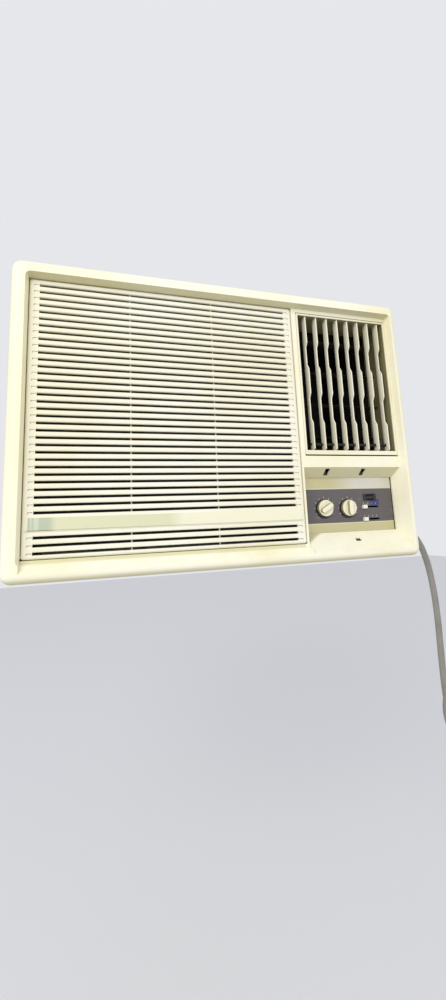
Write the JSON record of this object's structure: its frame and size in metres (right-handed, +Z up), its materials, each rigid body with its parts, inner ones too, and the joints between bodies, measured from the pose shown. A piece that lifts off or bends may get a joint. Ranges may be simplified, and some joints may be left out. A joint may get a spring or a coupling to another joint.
{
  "type": "window air conditioner",
  "caption": "Window air conditioner with slatted intake grille, swinging discharge louvre, sunk control panel, steel sleeve and full cooling chassis, with its supply cord.",
  "frame": {"origin": "middle of the sleeve's underside, where it rests on the window sill", "axes": "+Z up, the front panel faces -Y, +X to the right of someone facing the panel"},
  "size_m": [0.8768, 0.6985, 0.8131],
  "materials": {
    "panel_ivory": "satin, lightly yellowed",
    "grille_ivory": "satin",
    "louvre_ivory": "satin",
    "strip_foil": "printed foil, bare",
    "filter_mesh": "fine mesh",
    "control_foil": null,
    "knob_cream": "satin",
    "lever_white": "satin",
    "black_plastic": "satin",
    "galvanised": "zinc coat",
    "sleeve_paint": "enamel",
    "fin_aluminium": "bare fins",
    "copper": "bare copper",
    "motor_paint": "enamel",
    "duct_plastic": "moulded",
    "fan_plastic": "moulded",
    "shaft_steel": "ground",
    "compressor_paint": "enamel",
    "mount_rubber": "matt",
    "capacitor_can": "drawn can",
    "cord_grey": "matt",
    "pin_brass": "bare"
  },
  "bodies": {
    "chassis": {"front_panel": "panel_ivory", "louvre_frame": "louvre_ivory", "control_plate": "control_foil", "selector_switch": "black_plastic", "thermostat": "black_plastic", "switch_housing": "black_plastic", "control_box": "galvanised", "run_capacitor": "capacitor_can", "outer_cabinet": "sleeve_paint", "base_pan": "galvanised", "bulkhead": "galvanised", "evaporator_coil": "fin_aluminium", "condenser_coil": "fin_aluminium", "evaporator_bends": "copper", "condenser_bends": "copper", "fan_motor": "motor_paint", "motor_bracket": "galvanised", "blower_scroll": "duct_plastic", "inlet_ring": "duct_plastic", "discharge_duct": "duct_plastic", "fan_shroud": "galvanised", "compressor": "compressor_paint", "compressor_mounts": "mount_rubber", "accumulator": "compressor_paint", "filter_drier": "copper", "suction_line": "copper", "liquid_line": "copper", "discharge_line": "copper", "cord_gland": "cord_grey", "power_cord": "cord_grey", "cord_coil": "cord_grey", "cord_tie": "cord_grey", "plug_body": "cord_grey", "plug_pins": "pin_brass"},
    "grille": {"intake_grille": "grille_ivory", "name_strip": "strip_foil", "air_filter": "filter_mesh"},
    "blade_1": {"louvre_blade_1": "louvre_ivory"},
    "blade_2": {"louvre_blade_2": "louvre_ivory"},
    "blade_3": {"louvre_blade_3": "louvre_ivory"},
    "blade_4": {"louvre_blade_4": "louvre_ivory"},
    "blade_5": {"louvre_blade_5": "louvre_ivory"},
    "blade_6": {"louvre_blade_6": "louvre_ivory"},
    "blade_7": {"louvre_blade_7": "louvre_ivory"},
    "blade_8": {"louvre_blade_8": "louvre_ivory"},
    "blade_link": {"blade_link": "duct_plastic"},
    "vane_1": {"level_vane_1": "duct_plastic"},
    "vane_2": {"level_vane_2": "duct_plastic"},
    "vane_3": {"level_vane_3": "duct_plastic"},
    "vane_4": {"level_vane_4": "duct_plastic"},
    "vane_link": {"vane_link": "duct_plastic"},
    "selector_knob": {"selector_knob": "knob_cream"},
    "thermostat_knob": {"thermostat_knob": "knob_cream"},
    "rocker": {"rocker": "black_plastic"},
    "vent_lever": {"vent_lever": "lever_white"},
    "swing_lever": {"swing_lever": "lever_white"},
    "vent_door": {"vent_door": "galvanised"},
    "rotor": {"fan_shaft": "shaft_steel", "blower_wheel": "duct_plastic", "condenser_fan": "fan_plastic"}
  },
  "joints": [
    {"name": "grille_hinge", "type": "hinge", "parent": "chassis", "child": "grille", "pos_m": [-0.0928, -0.3545, 0.0213], "axis": [1, 0, 0], "range_deg": [0, 35]},
    {"name": "blade_1_turn", "type": "hinge", "parent": "chassis", "child": "blade_1", "pos_m": [0.14435, -0.3505, 0.28515], "axis": [0, 0, 1], "range_deg": [-30, 30]},
    {"name": "blade_2_turn", "type": "hinge", "parent": "chassis", "child": "blade_2", "pos_m": [0.16555, -0.3505, 0.28515], "axis": [0, 0, 1], "range_deg": [-30, 30]},
    {"name": "blade_3_turn", "type": "hinge", "parent": "chassis", "child": "blade_3", "pos_m": [0.18675, -0.3505, 0.28515], "axis": [0, 0, 1], "range_deg": [-30, 30]},
    {"name": "blade_4_turn", "type": "hinge", "parent": "chassis", "child": "blade_4", "pos_m": [0.20795, -0.3505, 0.28515], "axis": [0, 0, 1], "range_deg": [-30, 30]},
    {"name": "blade_5_turn", "type": "hinge", "parent": "chassis", "child": "blade_5", "pos_m": [0.22915, -0.3505, 0.28515], "axis": [0, 0, 1], "range_deg": [-30, 30]},
    {"name": "blade_6_turn", "type": "hinge", "parent": "chassis", "child": "blade_6", "pos_m": [0.25035, -0.3505, 0.28515], "axis": [0, 0, 1], "range_deg": [-30, 30]},
    {"name": "blade_7_turn", "type": "hinge", "parent": "chassis", "child": "blade_7", "pos_m": [0.27155, -0.3505, 0.28515], "axis": [0, 0, 1], "range_deg": [-30, 30]},
    {"name": "blade_8_turn", "type": "hinge", "parent": "chassis", "child": "blade_8", "pos_m": [0.29275, -0.3505, 0.28515], "axis": [0, 0, 1], "range_deg": [-30, 30]},
    {"name": "blade_link_pivot", "type": "hinge", "parent": "blade_1", "child": "blade_link", "pos_m": [0.14435, -0.3453, 0.1798], "axis": [0, 0, 1], "range_deg": [-30, 30]},
    {"name": "vane_1_tilt", "type": "hinge", "parent": "chassis", "child": "vane_1", "pos_m": [0.21545, -0.313, 0.19739], "axis": [1, 0, 0], "range_deg": [-25, 25]},
    {"name": "vane_2_tilt", "type": "hinge", "parent": "chassis", "child": "vane_2", "pos_m": [0.21545, -0.313, 0.25736], "axis": [1, 0, 0], "range_deg": [-25, 25]},
    {"name": "vane_3_tilt", "type": "hinge", "parent": "chassis", "child": "vane_3", "pos_m": [0.21545, -0.313, 0.31734], "axis": [1, 0, 0], "range_deg": [-25, 25]},
    {"name": "vane_4_tilt", "type": "hinge", "parent": "chassis", "child": "vane_4", "pos_m": [0.21545, -0.313, 0.37731], "axis": [1, 0, 0], "range_deg": [-25, 25]},
    {"name": "vane_link_pivot", "type": "hinge", "parent": "vane_1", "child": "vane_link", "pos_m": [0.1406, -0.305, 0.19739], "axis": [1, 0, 0], "range_deg": [-25, 25]},
    {"name": "selector_knob_turn", "type": "hinge", "parent": "chassis", "child": "selector_knob", "pos_m": [0.1632, -0.3384, 0.072], "axis": [0, 1, 0], "range_deg": [-180, 60]},
    {"name": "thermostat_knob_turn", "type": "hinge", "parent": "chassis", "child": "thermostat_knob", "pos_m": [0.2087, -0.3384, 0.0713], "axis": [0, 1, 0], "range_deg": [-135, 135]},
    {"name": "rocker_tilt", "type": "hinge", "parent": "chassis", "child": "rocker", "pos_m": [0.2537, -0.336, 0.0885], "axis": [1, 0, 0], "range_deg": [-14, 0]},
    {"name": "vent_lever_slide", "type": "slide", "parent": "chassis", "child": "vent_lever", "axis": [1, 0, 0], "range_m": [0, 0.024]},
    {"name": "swing_lever_slide", "type": "slide", "parent": "chassis", "child": "swing_lever", "axis": [1, 0, 0], "range_m": [0, 0.024]},
    {"name": "vent_door_hinge", "type": "hinge", "parent": "chassis", "child": "vent_door", "pos_m": [0.23, -0.124, 0.386], "axis": [1, 0, 0], "range_deg": [0, 35.01]},
    {"name": "rotor_spin", "type": "hinge", "parent": "chassis", "child": "rotor", "pos_m": [-0.104, -0.24, 0.215], "axis": [0, 1, 0], "continuous": true}
  ],
  "couplings": [
    {"joint": "blade_2_turn", "follows": "blade_1_turn", "ratio": 1},
    {"joint": "blade_3_turn", "follows": "blade_1_turn", "ratio": 1},
    {"joint": "blade_4_turn", "follows": "blade_1_turn", "ratio": 1},
    {"joint": "blade_5_turn", "follows": "blade_1_turn", "ratio": 1},
    {"joint": "blade_6_turn", "follows": "blade_1_turn", "ratio": 1},
    {"joint": "blade_7_turn", "follows": "blade_1_turn", "ratio": 1},
    {"joint": "blade_8_turn", "follows": "blade_1_turn", "ratio": 1},
    {"joint": "blade_link_pivot", "follows": "blade_1_turn", "ratio": -1},
    {"joint": "vane_2_tilt", "follows": "vane_1_tilt", "ratio": 1},
    {"joint": "vane_3_tilt", "follows": "vane_1_tilt", "ratio": 1},
    {"joint": "vane_4_tilt", "follows": "vane_1_tilt", "ratio": 1},
    {"joint": "vane_link_pivot", "follows": "vane_1_tilt", "ratio": -1},
    {"joint": "vent_door_hinge", "follows": "vent_lever_slide", "rad_per_m": 25.453}
  ]
}
